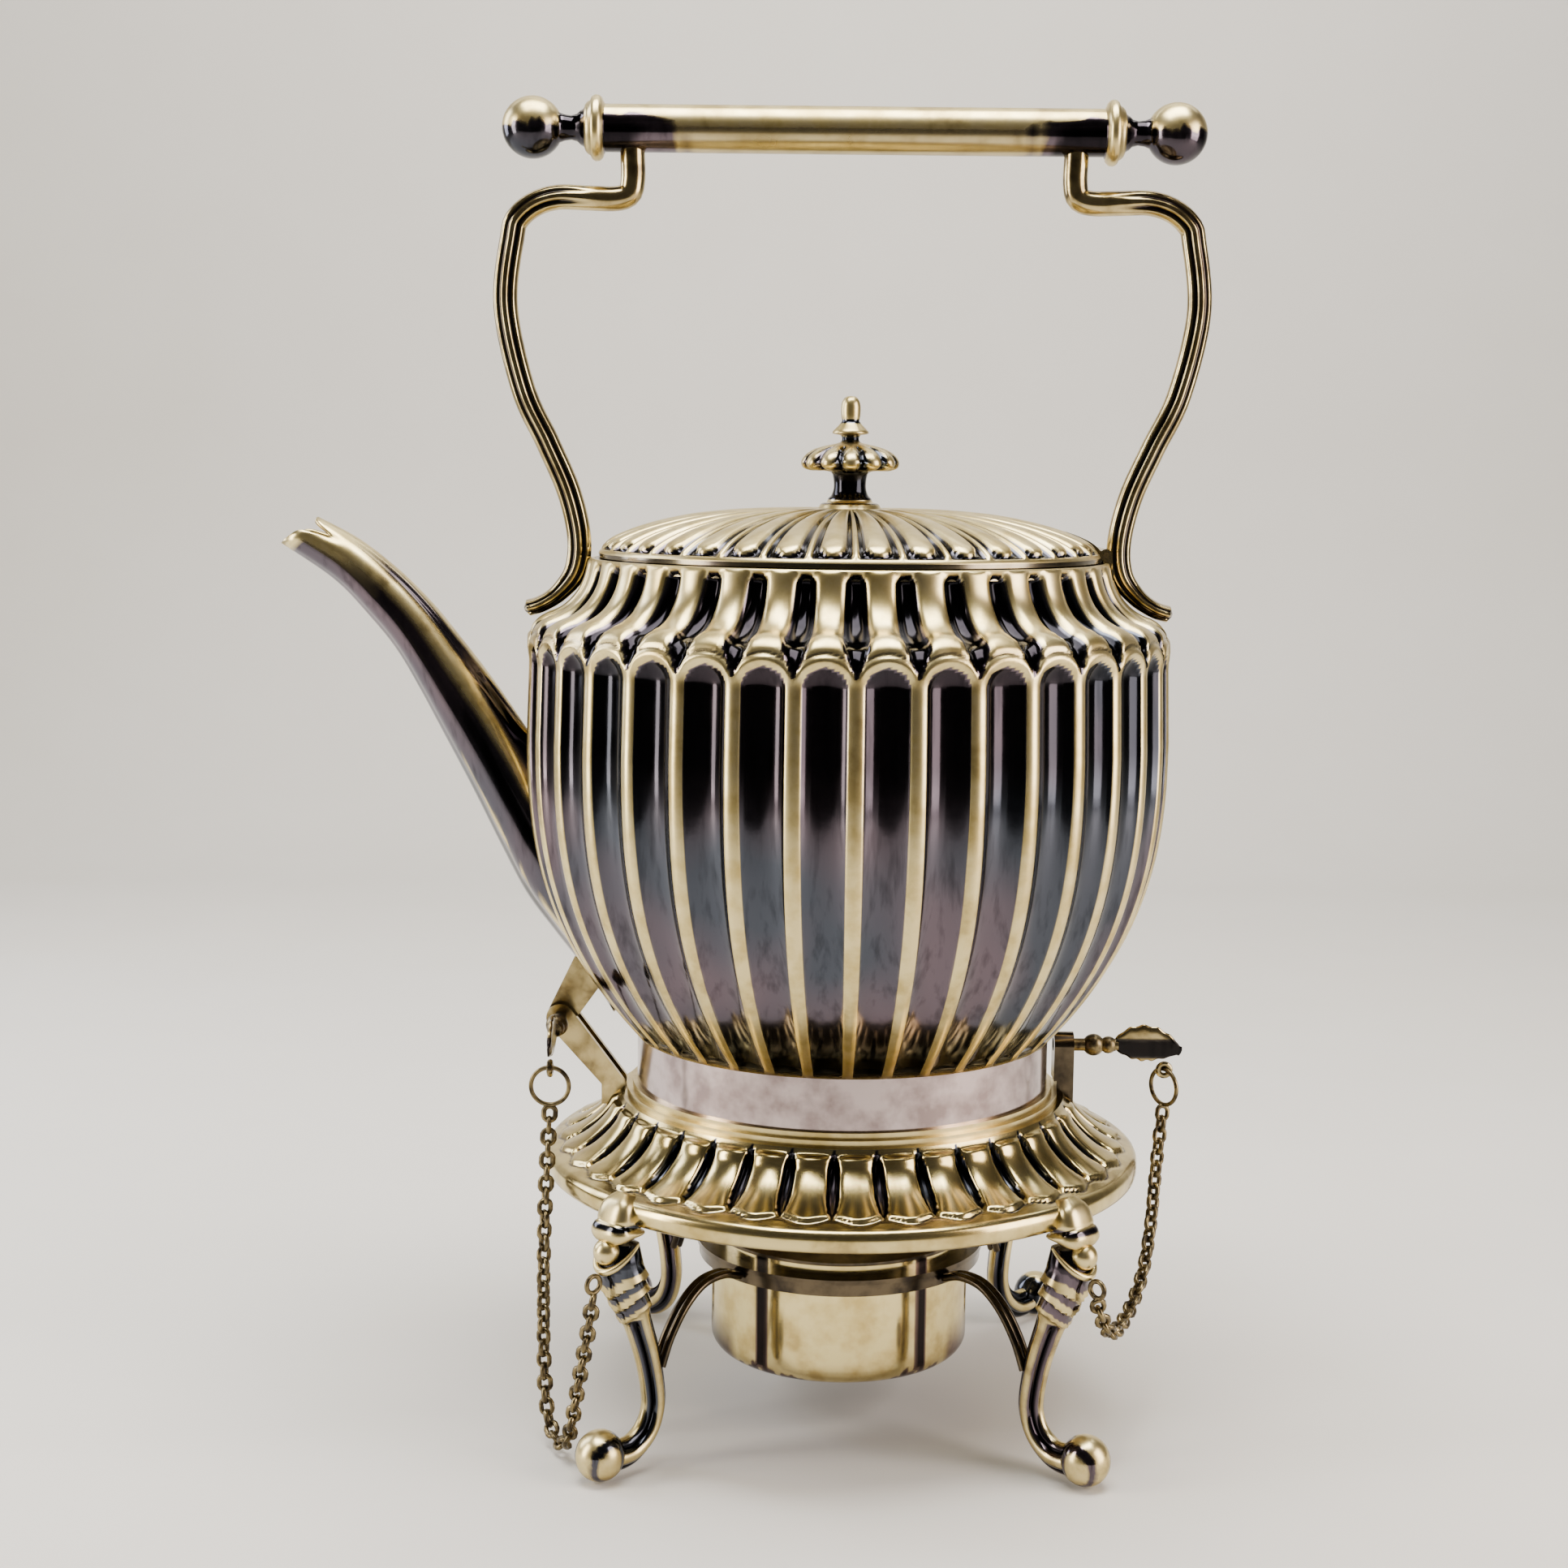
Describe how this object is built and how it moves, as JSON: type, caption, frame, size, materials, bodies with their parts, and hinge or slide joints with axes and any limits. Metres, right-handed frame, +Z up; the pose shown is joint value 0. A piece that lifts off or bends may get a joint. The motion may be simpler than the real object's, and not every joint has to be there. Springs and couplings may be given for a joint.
{
  "type": "spirit kettle on stand",
  "caption": "Fluted kettle with swan-neck handle and hinged lid, tilting on a pinned hinge over a legged stand with a spirit burner.",
  "frame": {"origin": "on the floor under the middle of the whole object's box, in the plane of the spout and handle", "axes": "+Z up, -X towards the spout, +X towards the handle side with the locking pin"},
  "size_m": [0.229, 0.16, 0.3264],
  "materials": {
    "silver_plate": "polished, tarnished in the hollows",
    "dark_plate": "tarnished, darkened",
    "bare_metal": "dull pinkish grey plate",
    "gilt_brass": "polished",
    "cotton": "woven wick"
  },
  "bodies": {
    "stand": {"stand_skirt": "silver_plate", "stand_seat": "silver_plate", "stand_rim": "silver_plate", "cradle_ring": "silver_plate", "tilt_bracket": "dark_plate", "lock_bracket": "dark_plate", "chain_eye_front": "dark_plate", "chain_eye_rear": "dark_plate", "tilt_pin_chain": "dark_plate", "lock_pin_chain": "dark_plate", "leg_1": "silver_plate", "leg_2": "silver_plate", "leg_3": "silver_plate", "leg_4": "silver_plate", "cradle_strut_1": "silver_plate", "cradle_strut_2": "silver_plate", "cradle_strut_3": "silver_plate", "cradle_strut_4": "silver_plate"},
    "kettle": {"kettle_body": "silver_plate", "neck_rim": "silver_plate", "kettle_foot_ring": "bare_metal", "spout": "silver_plate", "handle_arm_front": "silver_plate", "handle_arm_rear": "silver_plate", "grip_tube": "silver_plate", "grip_rod": "silver_plate", "grip_collar_front": "silver_plate", "grip_collar_rear": "silver_plate", "grip_knob_front": "silver_plate", "grip_knob_rear": "silver_plate", "tilt_lug": "silver_plate", "lid_hinge_fixed": "silver_plate", "lid_hinge_pin": "dark_plate"},
    "lid": {"lid_dome": "silver_plate", "lid_bezel": "silver_plate", "lid_hinge_flap": "silver_plate", "finial_base": "silver_plate", "finial_cap": "silver_plate", "finial_tip": "silver_plate", "finial_stud": "silver_plate", "finial_nut": "silver_plate"},
    "burner": {"burner_cup": "gilt_brass", "burner_flange": "gilt_brass", "burner_cover": "gilt_brass", "wick_collar": "gilt_brass", "wick_tube": "gilt_brass", "wick": "cotton"},
    "tilt_pin": {"tilt_pin": "dark_plate", "tilt_pin_thumb_piece": "dark_plate", "tilt_pin_ring": "dark_plate"},
    "lock_pin": {"lock_pin": "dark_plate", "lock_pin_thumb_piece": "dark_plate", "lock_pin_ring": "dark_plate"}
  },
  "joints": [
    {"name": "kettle_tilt", "type": "hinge", "parent": "stand", "child": "kettle", "pos_m": [-0.04485, 0, 0.099], "axis": [0, -1, 0], "range_deg": [0, 50]},
    {"name": "lid_hinge", "type": "hinge", "parent": "kettle", "child": "lid", "pos_m": [0.08926, 0, 0.217], "axis": [0, 1, 0], "range_deg": [0, 46]},
    {"name": "burner_lift", "type": "slide", "parent": "stand", "child": "burner", "axis": [0, 0, 1], "range_m": [0, 0.018]},
    {"name": "tilt_pin_pull", "type": "slide", "parent": "stand", "child": "tilt_pin", "axis": [0, -1, 0], "range_m": [0, 0.016]},
    {"name": "lock_pin_pull", "type": "slide", "parent": "stand", "child": "lock_pin", "axis": [1, 0, 0], "range_m": [0, 0.006]}
  ]
}
